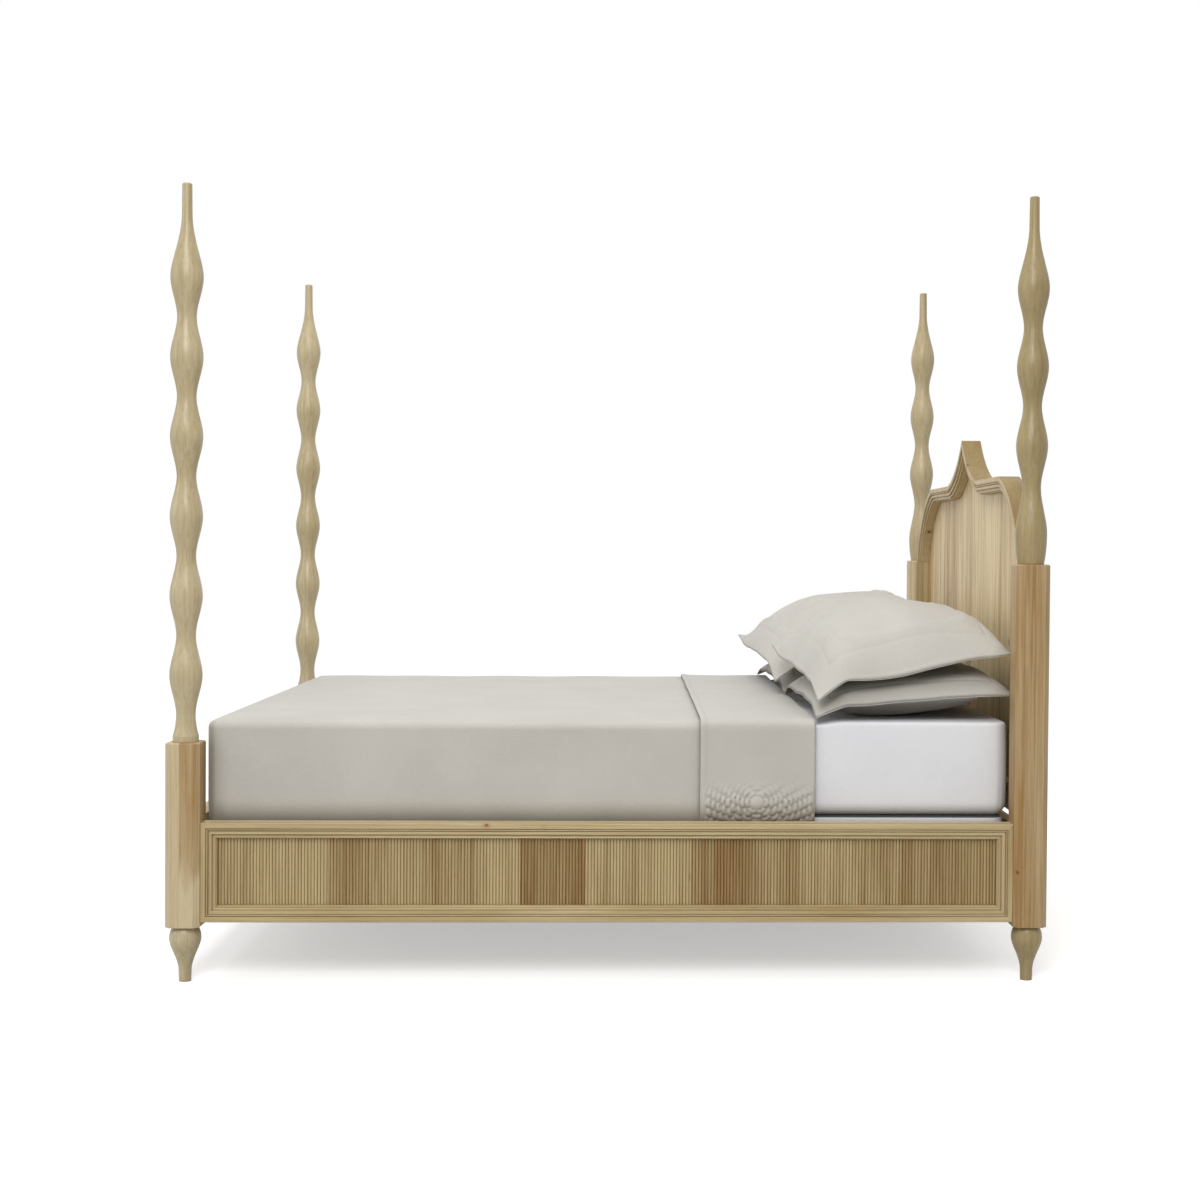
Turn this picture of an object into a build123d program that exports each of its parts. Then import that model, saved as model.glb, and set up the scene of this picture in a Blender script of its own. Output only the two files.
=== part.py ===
from build123d import *

import os

# Four-poster bed, in millimetres. +X runs from foot to head, +Z is up and the floor is z = 0.
# The origin is on the floor, midway between the four posts.

# Bedding
mattress_length = 2032.0
mattress_width = 1524.0
mattress_top = 645.0
foundation_top = 411.0
foundation_side_gap = 5.0
mattress_edge_radius = 18.0
mattress_corner_radius = 30.0
mattress_shift = 8.0
soft_gap = 0.3

# Room left for the mattress between the post blocks
mattress_end_gap = 8.5

# Post blocks: chamfered square legs
block_size = 86.0
block_chamfer = 13.0
block_ease = 3.0
foot_block_top = 603.0
head_block_top = 1064.0

# Turned feet
foot_height = 141.0
toe_radius = 15.2
ankle_radius = 15.8
ankle_height = 25.0
foot_bulge_radius = 39.4
foot_bulge_drop = 31.0
foot_bulge_bend = 0.62
foot_seat_radius = 29.0

# Bobbin-turned spindles
post_height = 2000.0
bulb_radius = 40.3
neck_radius = 23.8
foot_bulb_count = 6
head_bulb_count = 3
low_bulb_rise = 167.0
collar_radius = 31.8
collar_height = 15.0
long_bulb_rise = 77.0
head_seat_radius = 33.5
tip_length = 233.5
tip_taper = 158.5
tip_taper_bend = 0.33
tip_base_radius = 13.0
tip_radius = 12.3
tip_round = 4.0

# Wooden dowels and pins that join the turnings to the blocks, and dowels between headboard and posts
dowel_radius = 8.0
dowel_depth = 40.0
stile_dowel_radius = 5.0
stile_dowel_depth = 28.0
joint_clearance = 0.1

# Rails
rail_bottom = 153.0
rail_top = 402.0
core_thickness = 20.0

# Moulding that frames the rail panels and the headboard: widths from the outer edge inwards
rim_ease = 1.5
rim_width = 13.0
groove_width = 3.0
fillet_width = 2.0
band_width = 7.0
bead_width = 6.0
lip_width = 3.0
moulding_depth = 28.0

# Depths of the moulding's members below its rim
first_groove_depth = 3.0
fillet_depth = 1.0
second_groove_depth = 5.0
band_depth = 3.5
third_groove_depth = 9.0
bead_depth = 8.0
bead_crown = 1.5
lip_depth = 14.0

# Reeded panels inside the rail mouldings
reed_pitch = 8.0
reed_depth = 2.6
panel_thickness = 7.5

# Hook plates that hang the rails on the post blocks
plate_thickness = 3.0
plate_width = 14.0
plate_height = 130.0
hook_thickness = 3.0
hook_root = 22.0
hook_reach = 7.5
hook_drop = 8.0
hook_spacing = 64.0
slot_clearance = 0.5
pocket_depth = 10.0

# Mattress support
ledger_size = 25.0
ledger_top = 180.0
ledger_end_gap = 25.0
slat_count = 10
slat_width = 90.0
slat_thickness = 18.0
slat_end_gap = 2.0
slat_margin = 75.0
beam_width = 44.0
beam_height = 60.0
leg_size = 44.0
leg_spacing = 700.0
hanger_thickness = 2.5
hanger_length = 45.0
hanger_ear = 22.0
hanger_ear_height = 22.0

# Headboard
headboard_thickness = 58.0
headboard_back_inset = 5.5
headboard_bottom = 410.0
headboard_rail_height = 70.0
headboard_rail_thickness = 50.0
shoulder_height = 1302.0
shoulder_half_width = 505.0
arch_bulge = 46.0
crest_height = 1432.0
crest_half_width = 215.0
crest_hollow = 22.0
back_panel_thickness = 22.0
panel_rebate = 12.0
board_width = 113.0
board_vee_width = 5.0
board_vee_depth = 2.0
head_rail_bottom = 158.0
head_rail_top = 380.0
head_rail_thickness = 30.0
head_tenon_thickness = 14.0
head_tenon_shoulder = 30.0
head_tenon_length = 25.0

# Coverlet with its top end folded back into a cuff
cloth_thickness = 7.5
cuff_thickness = 7.0
cuff_depth = 294.0
cuff_from_head = 494.0
hem_height = 406.0

# Flanged pillows, stacked in two pairs
pillow_half_x = 214.0
pillow_half_y = 322.0
flange_width = 48.0
flange_thickness = 6.0
flange_hollow = 9.0
pillow_draw_in = 8.0
seam_thickness = 2.0
lower_crown = 84.0
lower_belly = 66.0
lower_tilt = 4.0
upper_crown = 157.0
upper_belly = 12.0
upper_tilt = 8.0
pillow_lean = 0.2

# Each pillow's middle from the mattress's head end, its turn about the vertical and how far it sinks
near_lower_pillow = (238.0, 1.0, 0.0)
near_upper_pillow = (264.0, 3.0, 4.8)
far_lower_pillow = (256.0, 1.5, 0.0)
far_upper_pillow = (301.0, 3.5, 8.0)

# Places worked out from the sizes above
inner_x = mattress_length / 2 + mattress_end_gap
inner_y = mattress_width / 2
post_x = inner_x + block_size / 2
post_y = inner_y + block_size / 2
rim_x = inner_x + block_size - block_chamfer
rim_y = inner_y + block_size - block_chamfer
rail_height = rail_top - rail_bottom
rail_middle = (rail_top + rail_bottom) / 2
side_rail_length = 2 * inner_x
foot_rail_length = 2 * inner_y
rail_depth = moulding_depth + core_thickness
rail_face_y = rim_y - rail_depth
rail_face_x = rim_x - rail_depth
slat_top = ledger_top + slat_thickness
headboard_back = inner_x + block_size - headboard_back_inset
headboard_front = headboard_back - headboard_thickness
back_panel_front = headboard_back - back_panel_thickness
head_rail_front = post_x - head_rail_thickness / 2
low_bulb = foot_block_top + low_bulb_rise
top_bulb = post_height - tip_length
bulb_pitch = (top_bulb - low_bulb) / (foot_bulb_count - 1)

# Insets of the moulding's members from its outer edge
first_groove = rim_width
fillet_start = first_groove + groove_width
second_groove = fillet_start + fillet_width
band_start = second_groove + groove_width
third_groove = band_start + band_width
bead_start = third_groove + groove_width
lip_start = bead_start + bead_width
moulding_width = lip_start + lip_width

FROM_BELOW = (Align.CENTER, Align.CENTER, Align.MIN)
FROM_ABOVE = (Align.CENTER, Align.CENTER, Align.MAX)

posts = {
    "foot_near": (-post_x, -post_y, foot_block_top),
    "foot_far": (-post_x, post_y, foot_block_top),
    "head_near": (post_x, -post_y, head_block_top),
    "head_far": (post_x, post_y, head_block_top),
}


def span_box(x_span, y_span, z_span):
    """A box between two values on each axis."""
    size = [high - low for low, high in (x_span, y_span, z_span)]
    middle = [(high + low) / 2 for low, high in (x_span, y_span, z_span)]
    return Pos(*middle) * Box(*size)


def group(solids):
    """Separate solids that share one node."""
    return Compound(list(solids))


# Turned pieces


def lathe(edges, first, last):
    """Turn an outline of (radius, height) edges about the vertical axis."""
    ends = Polyline(last, (0, last[1]), (0, first[1]), first)
    return revolve(Plane.XZ * make_face([*edges, ends]), axis=Axis.Z)


def wave(points):
    """A smooth curve through points of an outline that starts and ends along the turning axis."""
    return Spline(*points, tangents=[(0, 1), (0, 1)], tangent_scalars=[1, 1])


def part_way(start, end, share):
    """The point a share of the way from start to end."""
    return start[0] + (end[0] - start[0]) * share, start[1] + (end[1] - start[1]) * share


def bobbins(bulb_count):
    """Necks and bulbs in turn, ending at the top bulb."""
    points = []
    for index in range(bulb_count):
        bulb_height = top_bulb - (bulb_count - 1 - index) * bulb_pitch
        points += [(neck_radius, bulb_height - bulb_pitch / 2), (bulb_radius, bulb_height)]
    return points


def spindle(edges, points, seat):
    """Turning with a dowel hole in its foot: edges from the seat, a wave and a drawn-out tip."""
    tip_base = (tip_base_radius, top_bulb + tip_taper)
    tip_bend = part_way(points[-1], tip_base, tip_taper_bend)
    shoulder = (tip_radius, post_height - tip_round)
    end = (tip_radius - tip_round, post_height)
    edges = [*edges, wave([*points, tip_bend, tip_base]), Line(tip_base, shoulder)]
    edges.append(TangentArc(shoulder, end, tangent=(0, 1)))
    socket = Cylinder(dowel_radius + joint_clearance, dowel_depth, align=FROM_BELOW)
    return lathe(edges, seat, end) - Pos(0, 0, seat[1]) * socket


def foot_spindle():
    """Spindle of a foot post: a collar and a full row of bulbs."""
    seat = (collar_radius, foot_block_top)
    collar = (collar_radius, foot_block_top + collar_height)
    points = bobbins(foot_bulb_count)
    flare = TangentArc(points[0], collar, tangent=(0, -1))
    return spindle([Line(seat, collar), flare], points, seat)


def head_spindle():
    """Spindle of a head post: one long bulb that sits on the block, then the upper bulbs."""
    seat = (head_seat_radius, head_block_top)
    long_bulb = (bulb_radius, head_block_top + long_bulb_rise)
    rise = TangentArc(long_bulb, seat, tangent=(0, -1))
    return spindle([rise], [long_bulb, *bobbins(head_bulb_count)], seat)


def turned_foot():
    """Vase-shaped foot, turned with a pin that goes up into its post block."""
    toe = (toe_radius, 0)
    ankle = (ankle_radius, ankle_height)
    bulge = (foot_bulge_radius, foot_height - foot_bulge_drop)
    seat = (foot_seat_radius, foot_height)
    edges = [Line(toe, ankle), wave([ankle, part_way(ankle, bulge, foot_bulge_bend), bulge])]
    edges.append(TangentArc(bulge, seat, tangent=(0, 1)))
    pin = Cylinder(dowel_radius, dowel_depth, align=FROM_BELOW)
    return lathe(edges, toe, seat) + Pos(0, 0, foot_height) * pin


# Post blocks and the hooks that hang the rails


def post_block(top):
    """Chamfered square block with a dowel hole in each end."""
    section = chamfer(Rectangle(block_size, block_size).vertices(), block_chamfer)
    block = Pos(0, 0, foot_height) * extrude(section, top - foot_height)
    block = chamfer(block.faces().sort_by(Axis.Z)[-1].edges(), block_ease)
    hole_radius = dowel_radius + joint_clearance
    block -= Pos(0, 0, top) * Cylinder(hole_radius, dowel_depth, align=FROM_ABOVE)
    block -= Pos(0, 0, foot_height) * Cylinder(hole_radius, dowel_depth, align=FROM_BELOW)
    return block


def hook_heights():
    """Heights of the two hooks' root undersides on a plate, from its middle."""
    return [side * hook_spacing / 2 - hook_root / 2 for side in (-1, 1)]


def hook_plate():
    """Steel plate let into a rail's end, with two hooks that reach out along +X."""
    plate = Pos(-plate_thickness / 2, 0, 0) * Box(plate_thickness, plate_width, plate_height)
    catch = plate_thickness + slot_clearance
    for low in hook_heights():
        outline = Polyline(
            (0, low),
            (catch, low),
            (catch, low - hook_drop),
            (catch + hook_reach, low - hook_drop),
            (catch + hook_reach, low + hook_root),
            (0, low + hook_root),
            close=True,
        )
        hook = extrude(Plane.XZ * make_face(outline), hook_thickness / 2, both=True)
        plate += hook
    return plate


def slot_plate():
    """Steel plate let into a post block, with a slot for each hook."""
    plate = Pos(plate_thickness / 2, 0, 0) * Box(plate_thickness, plate_width, plate_height)
    slot_height = hook_root + hook_drop + slot_clearance
    for low in hook_heights():
        slot = Box(3 * plate_thickness, hook_thickness + 2 * slot_clearance, slot_height, align=FROM_BELOW)
        plate -= Pos(0, 0, low) * slot
    return plate


def block_pocket():
    """What is cut from a block for one slot plate and the hooks behind it."""
    pocket = Pos(plate_thickness / 2, 0, 0) * Box(plate_thickness, plate_width, plate_height)
    depth = pocket_depth + plate_thickness
    height = hook_root + 2 * hook_drop + 2 * slot_clearance
    for low in hook_heights():
        room = Box(depth, hook_thickness + 2 * slot_clearance, height, align=FROM_BELOW)
        pocket += Pos(depth / 2, 0, low - hook_drop - slot_clearance) * room
    return pocket


# Rails: a core board, a mitred moulding frame and a reeded panel.
# A rail's own frame has x along it, y inwards from the rim of the moulding and z up from its middle.


def moulding_section():
    """Section of the moulding, x inwards from the rim and y down from its outer edge."""
    outer = [
        (moulding_depth, 0),
        (rim_ease, 0),
        (0, rim_ease),
        (0, first_groove),
        (first_groove_depth, first_groove + groove_width / 2),
        (fillet_depth, fillet_start),
        (fillet_depth, second_groove),
        (second_groove_depth, second_groove + groove_width / 2),
        (band_depth, band_start),
        (band_depth, third_groove),
        (third_groove_depth, third_groove + groove_width / 2),
        (bead_depth, bead_start),
    ]
    inner = [
        (bead_depth, lip_start),
        (lip_depth, moulding_width),
        (moulding_depth, moulding_width),
        (moulding_depth, 0),
    ]
    bead = SagittaArc(outer[-1], inner[0], -bead_crown)
    return Rot(180, 0, 0) * make_face([Polyline(*outer), bead, Polyline(*inner)])


def moulding_stick(length):
    """One mitred stick along x, its outer edge at z = 0."""
    stick = extrude(Plane.YZ * moulding_section(), length / 2, both=True)
    short = length / 2 - moulding_width
    mitre = Polyline(
        (-length / 2, 0),
        (length / 2, 0),
        (short, -moulding_width),
        (-short, -moulding_width),
        close=True,
    )
    return stick & extrude(Plane.XZ * make_face(mitre), moulding_depth, dir=(0, 1, 0))


def long_moulding(length):
    """Top and bottom sticks of a rail's frame."""
    stick = moulding_stick(length)
    return [Pos(0, 0, rail_height / 2) * stick, Pos(0, 0, -rail_height / 2) * Rot(0, 180, 0) * stick]


def end_moulding(length):
    """Upright sticks at the two ends of a rail's frame."""
    stick = moulding_stick(rail_height)
    return [Pos(side * length / 2, 0, 0) * Rot(0, side * 90, 0) * stick for side in (-1, 1)]


def reeded_panel(length):
    """Panel of upright reeds that fills the moulding frame."""
    width = length - 2 * moulding_width
    count = round(width / reed_pitch)
    pitch = width / count
    crest = moulding_depth - panel_thickness
    points = [(width / 2, moulding_depth), (-width / 2, moulding_depth)]
    for index in range(count):
        left = -width / 2 + index * pitch
        points += [(left, crest + reed_depth), (left + pitch / 2, crest)]
    points.append((width / 2, crest + reed_depth))
    section = make_face(Polyline(*points, close=True))
    return extrude(section, rail_height / 2 - moulding_width, both=True)


def rail_ends(length):
    """Places of the plates on a rail's two ends, with x pointing out of the rail."""
    depth = moulding_depth + core_thickness / 2
    return [Pos(-length / 2, depth, 0) * Rot(0, 0, 180), Pos(length / 2, depth, 0)]


def rail_core(length):
    """Structural board of a rail, cut at its ends for the hook plates."""
    core = span_box(
        (-length / 2, length / 2), (moulding_depth, rail_depth), (-rail_height / 2, rail_height / 2)
    )
    housing = Pos(-plate_thickness / 2, 0, 0) * Box(plate_thickness, plate_width, plate_height)
    for place in rail_ends(length):
        core -= place * housing
    return core


# Headboard


headboard_plane = Plane(origin=(headboard_front, 0, 0), x_dir=(0, 1, 0), z_dir=(1, 0, 0))


def headboard_outline(inset):
    """Ogee-crested outline, drawn in by an inset, with its lower end past the headboard's bottom."""
    low = headboard_bottom - 2 * moulding_width
    half = [
        (inner_y, low),
        (inner_y, head_block_top),
        (shoulder_half_width, shoulder_height),
        (crest_half_width, shoulder_height),
        (0, crest_height),
    ]
    edges = []
    for side in (-1, 1):
        foot, spring, shoulder, cusp, apex = [(side * y, z) for y, z in half]
        edges += [
            Line(foot, spring),
            SagittaArc(spring, shoulder, -side * arch_bulge),
            Line(shoulder, cusp),
            SagittaArc(cusp, apex, side * crest_hollow),
        ]
    edges.append(Line((-inner_y, low), (inner_y, low)))
    face = make_face(edges)
    return offset(face, amount=-inset, kind=Kind.INTERSECTION) if inset else face


def headboard_frame():
    """Stiles and crest in one, moulded on the front and rebated at the back for the panel."""
    whole = headboard_outline(0) - headboard_outline(moulding_width)
    frame = extrude(headboard_plane * whole, headboard_thickness)
    members = [
        (first_groove, fillet_start, first_groove_depth),
        (fillet_start, second_groove, fillet_depth),
        (second_groove, band_start, second_groove_depth),
        (band_start, third_groove, band_depth),
        (third_groove, bead_start, third_groove_depth),
        (bead_start, lip_start, bead_depth),
        (lip_start, moulding_width, lip_depth),
    ]
    for outer, inner, depth in members:
        ring = headboard_outline(outer) - headboard_outline(inner)
        frame -= extrude(headboard_plane * ring, depth)
    recess = Pos(back_panel_front - headboard_front, 0, 0) * extrude(
        headboard_plane * headboard_outline(moulding_width - panel_rebate), back_panel_thickness
    )
    return frame - recess


def headboard_panel():
    """Upright boards joined edge to edge, with a vee along each joint."""
    face = headboard_outline(moulding_width - panel_rebate)
    panel = Pos(back_panel_front - headboard_front, 0, 0) * extrude(
        headboard_plane * face, back_panel_thickness
    )
    low = headboard_bottom + headboard_rail_height
    reach = inner_y + block_size
    panel &= span_box((headboard_front, headboard_back), (-reach, reach), (low, crest_height))
    half = inner_y - moulding_width + panel_rebate
    count = round(2 * half / board_width)
    vee = make_face(
        Polyline(
            (0, -board_vee_width / 2), (board_vee_depth, 0), (0, board_vee_width / 2), close=True
        )
    )
    vees = []
    for index in range(1, count):
        place = Pos(back_panel_front, -half + index * 2 * half / count, low)
        vees.append(place * extrude(vee, crest_height - low))
    return panel - vees


def headboard_pieces():
    """The frame cut into stiles below the block tops and two crest halves above."""
    frame = headboard_frame()
    depth = (headboard_front, headboard_back)
    reach = inner_y + block_size
    pieces = {}
    for name, y_span in (("near", (-reach, 0)), ("far", (0, reach))):
        stile = frame & span_box(depth, y_span, (headboard_bottom, head_block_top))
        crest = frame & span_box(depth, y_span, (head_block_top, crest_height))
        pieces[f"headboard_{name}_stile"] = stile
        pieces[f"headboard_{name}_crest"] = crest
    return pieces


def stile_dowel_places():
    """Places of the dowels across the joints between the headboard's stiles and the posts."""
    middle = (back_panel_front + headboard_front) / 2
    step = (head_block_top - headboard_bottom) / 3
    heights = [headboard_bottom + step, head_block_top - step]
    return [Pos(middle, side * inner_y, z) * Rot(90, 0, 0) for side in (-1, 1) for z in heights]


def head_tenons(clearance):
    """Tenons on the two ends of the head rail, or with a clearance the mortises for them."""
    thickness = head_tenon_thickness + 2 * clearance
    height = head_rail_top - head_rail_bottom - 2 * head_tenon_shoulder + 2 * clearance
    middle = (head_rail_top + head_rail_bottom) / 2
    tenon = Box(thickness, 2 * head_tenon_length, height)
    return [Pos(post_x, side * inner_y, middle) * tenon for side in (-1, 1)]


# Mattress support


def slat(index):
    """One slat across the bed, resting on the ledgers and the centre beam."""
    reach = rail_face_y - slat_end_gap
    first = -inner_x + slat_margin + slat_width / 2
    middle = first - index * 2 * first / (slat_count - 1)
    x_span = (middle - slat_width / 2, middle + slat_width / 2)
    return span_box(x_span, (-reach, reach), (ledger_top, slat_top))


def ledger(side):
    """Strip inside a side rail that carries the slats' ends."""
    reach = inner_x - ledger_end_gap
    inner, outer = sorted((side * (rail_face_y - ledger_size), side * rail_face_y))
    return span_box((-reach, reach), (inner, outer), (ledger_top - ledger_size, ledger_top))


def beam_hanger(face_x, out):
    """Stirrup on a cross rail's inner face that holds one end of the beam."""
    half = beam_width / 2
    low = ledger_top - beam_height
    reach = face_x + out * hanger_length
    inside = span_box(
        sorted((face_x + out * hanger_thickness, reach + out)), (-half, half), (low, ledger_top)
    )
    outside = span_box(
        sorted((face_x, reach)),
        (-half - hanger_thickness, half + hanger_thickness),
        (low - hanger_thickness, ledger_top),
    )
    ear_half = half + hanger_thickness + hanger_ear
    ears = span_box(
        sorted((face_x, face_x + out * hanger_thickness)),
        (-ear_half, ear_half),
        (ledger_top - hanger_ear_height, ledger_top),
    )
    return outside - inside + ears


# Bedding


def rounded_box(x_span, y_span, z_span, corner, edge, whole):
    """A box with rounded upright corners and rounded top edges, and bottom edges too if whole."""
    box = span_box(x_span, y_span, z_span)
    box = fillet(box.edges().filter_by(Axis.Z), corner)
    rims = box.faces().sort_by(Axis.Z)[-1].edges()
    if whole:
        rims += box.faces().sort_by(Axis.Z)[0].edges()
    return fillet(rims, edge)


def mattress():
    """Mattress pushed up towards the headboard."""
    half_x, half_y = mattress_length / 2, mattress_width / 2
    return rounded_box(
        (mattress_shift - half_x, mattress_shift + half_x),
        (-half_y, half_y),
        (foundation_top + soft_gap, mattress_top),
        mattress_corner_radius,
        mattress_edge_radius,
        True,
    )


def cover_shape(x_start, grow, low):
    """The mattress's outside grown by a cloth's thickness, from x_start on and from a height up."""
    return rounded_box(
        (x_start, 2 * mattress_length),
        (-mattress_width / 2 - grow, mattress_width / 2 + grow),
        (low, mattress_top + grow),
        mattress_corner_radius + grow,
        mattress_edge_radius + grow,
        False,
    )


def coverlet():
    """Cloth over the mattress's top, sides and foot end, doubled back on itself as a cuff."""
    reach = mattress_length
    outer = soft_gap + cloth_thickness
    foot = -mattress_length / 2 - outer
    fold = mattress_length / 2 - cuff_from_head
    cloth = cover_shape(foot, outer, hem_height)
    cloth &= span_box((-reach, fold), (-reach, reach), (hem_height, reach))
    cuff = cover_shape(foot, outer + cuff_thickness, hem_height)
    cuff &= span_box((fold - cuff_depth, fold), (-reach, reach), (hem_height, reach))
    inside = cover_shape(mattress_shift - mattress_length / 2 - soft_gap, soft_gap, 0)
    below = cover_shape(-mattress_length / 2 - soft_gap, soft_gap, 0)
    below &= span_box((-reach, reach), (-reach, reach), (0, foundation_top + soft_gap))
    return cloth + cuff - inside - below


def pillow_section(share, crown, belly):
    """Section of a pillow at a share of the way from its middle to an end, fullest towards the head."""
    fullness = (1 - abs(share) ** 3) ** 0.6
    half = pillow_half_x - pillow_draw_in * (1 - share**2)
    top = max(crown * fullness, seam_thickness)
    bottom = max(belly * fullness, seam_thickness)
    crest = pillow_lean * half
    edges = [
        TangentArc((crest, top), (-half, 0), tangent=(-1, 0)),
        TangentArc((crest, top), (half, 0), tangent=(1, 0)),
        ThreePointArc((half, 0), (0, -bottom), (-half, 0)),
    ]
    plane = Plane(origin=(0, share * pillow_half_y, 0), x_dir=(1, 0, 0), z_dir=(0, -1, 0))
    return plane * make_face(edges)


def pillow(crown, belly):
    """Crowned pillow with a flat flange round its seam, sides drawn in between the corners."""
    body = loft([pillow_section(step / 5, crown, belly) for step in range(-5, 6)])
    half_x, half_y = pillow_half_x + flange_width, pillow_half_y + flange_width
    corners = [(-half_x, -half_y), (half_x, -half_y), (half_x, half_y), (-half_x, half_y)]
    sides = zip(corners, corners[1:] + corners[:1])
    outline = make_face([SagittaArc(start, end, flange_hollow) for start, end in sides])
    return body + extrude(outline, flange_thickness / 2, both=True)


def main():
    nodes = {}

    # Rails, each in its own frame and then set between its posts
    rail_frames = {
        "near_rail": (Pos(0, -rim_y, rail_middle), side_rail_length, ("foot_near", "head_near")),
        "far_rail": (
            Pos(0, rim_y, rail_middle) * Rot(0, 0, 180),
            side_rail_length,
            ("head_far", "foot_far"),
        ),
        "foot_rail": (
            Pos(-rim_x, 0, rail_middle) * Rot(0, 0, -90),
            foot_rail_length,
            ("foot_far", "foot_near"),
        ),
    }
    plate_places = []
    for name, (frame, length, ends) in rail_frames.items():
        nodes[f"{name}_core"] = frame * rail_core(length)
        nodes[f"{name}_panel"] = frame * reeded_panel(length)
        nodes[f"{name}_long_moulding"] = group(frame * stick for stick in long_moulding(length))
        nodes[f"{name}_end_moulding"] = group(frame * stick for stick in end_moulding(length))
        plate_places += [(post, frame * place) for post, place in zip(ends, rail_ends(length))]
    nodes["rail_hook_plates"] = group(place * hook_plate() for _, place in plate_places)
    nodes["post_slot_plates"] = group(place * slot_plate() for _, place in plate_places)

    # Headboard
    nodes.update(headboard_pieces())
    nodes["headboard_panel"] = headboard_panel()
    stile_face = inner_y - moulding_width
    nodes["headboard_bottom_rail"] = span_box(
        (headboard_back - headboard_rail_thickness, headboard_back),
        (-stile_face, stile_face),
        (headboard_bottom, headboard_bottom + headboard_rail_height),
    )
    head_rail = span_box(
        (head_rail_front, head_rail_front + head_rail_thickness),
        (-inner_y, inner_y),
        (head_rail_bottom, head_rail_top),
    )
    nodes["head_rail"] = head_rail + head_tenons(0)
    dowel_places = stile_dowel_places()
    dowel_length = 2 * stile_dowel_depth
    holes = [place * Cylinder(stile_dowel_radius + joint_clearance, dowel_length) for place in dowel_places]
    for name in ("headboard_near_stile", "headboard_far_stile"):
        nodes[name] -= holes
    dowel = Cylinder(stile_dowel_radius, dowel_length)
    nodes["headboard_dowels"] = group(place * dowel for place in dowel_places)

    # Posts
    for name, (x, y, top) in posts.items():
        block = Pos(x, y, 0) * post_block(top)
        block -= [place * block_pocket() for post, place in plate_places if post == name]
        if top == head_block_top:
            block -= holes + head_tenons(joint_clearance)
            nodes[f"{name}_spindle"] = Pos(x, y, 0) * head_spindle()
        else:
            nodes[f"{name}_spindle"] = Pos(x, y, 0) * foot_spindle()
        nodes[f"{name}_block"] = block
        nodes[f"{name}_turned_foot"] = Pos(x, y, 0) * turned_foot()
    post_dowel = Cylinder(dowel_radius, 2 * dowel_depth)
    nodes["spindle_dowels"] = group(Pos(x, y, top) * post_dowel for x, y, top in posts.values())

    # Mattress support
    nodes["near_ledger"] = ledger(-1)
    nodes["far_ledger"] = ledger(1)
    for index in range(slat_count):
        nodes[f"slat_{index + 1:02d}"] = slat(index)
    beam_low = ledger_top - beam_height
    nodes["centre_beam"] = span_box(
        (-rail_face_x + hanger_thickness, head_rail_front - hanger_thickness),
        (-beam_width / 2, beam_width / 2),
        (beam_low, ledger_top),
    )
    nodes["beam_hangers"] = group([beam_hanger(-rail_face_x, 1), beam_hanger(head_rail_front, -1)])
    leg = Box(leg_size, leg_size, beam_low, align=FROM_BELOW)
    nodes["centre_legs"] = group(Pos(side * leg_spacing / 2, 0, 0) * leg for side in (-1, 1))

    # Bedding
    half_x = mattress_length / 2
    half_y = mattress_width / 2 - foundation_side_gap
    foundation = span_box((-half_x, half_x), (-half_y, half_y), (slat_top, foundation_top))
    nodes["foundation"] = fillet(foundation.edges().filter_by(Axis.Z), mattress_corner_radius)
    nodes["mattress"] = mattress()
    nodes["coverlet"] = coverlet()
    lower_seam = mattress_top + soft_gap + lower_belly
    upper_seam = lower_seam + lower_crown + soft_gap + upper_belly
    below = span_box((0, 2 * half_x), (-half_x, half_x), (0, mattress_top + soft_gap))
    pillows = {
        "pillow_near_lower": (near_lower_pillow, -1, lower_seam, lower_tilt, lower_crown, lower_belly),
        "pillow_near_upper": (near_upper_pillow, -1, upper_seam, upper_tilt, upper_crown, upper_belly),
        "pillow_far_lower": (far_lower_pillow, 1, lower_seam, lower_tilt, lower_crown, lower_belly),
        "pillow_far_upper": (far_upper_pillow, 1, upper_seam, upper_tilt, upper_crown, upper_belly),
    }
    for name, (spot, side, seam, tilt, crown, belly) in pillows.items():
        from_head, turn, sink = spot
        place = Pos(half_x - from_head, side * mattress_width / 4, seam - sink)
        nodes[name] = place * Rot(0, 0, turn) * Rot(0, -tilt, 0) * pillow(crown, belly) - below

    os.makedirs("parts", exist_ok=True)
    for name, shape in nodes.items():
        export_step(shape, f"parts/{name}.step")


main()
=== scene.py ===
# %% [markdown]
# # A four-poster bed in pale pine
# The wooden frame comes from the CAD frame, where every post, rail and moulding has its real size.
# Blender adds what CAD cannot: wood that shows its boards, cloth that is soft, and studio light.
# Lengths are in millimetres until a mesh is made, because bed makers think in millimetres.
# Only the floor and the lamps of the studio are placed in metres.

# %% Load the frame
import math

import bpy
import numpy as np
from mathutils import Matrix, Vector
from mathutils.bvhtree import BVHTree


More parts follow.
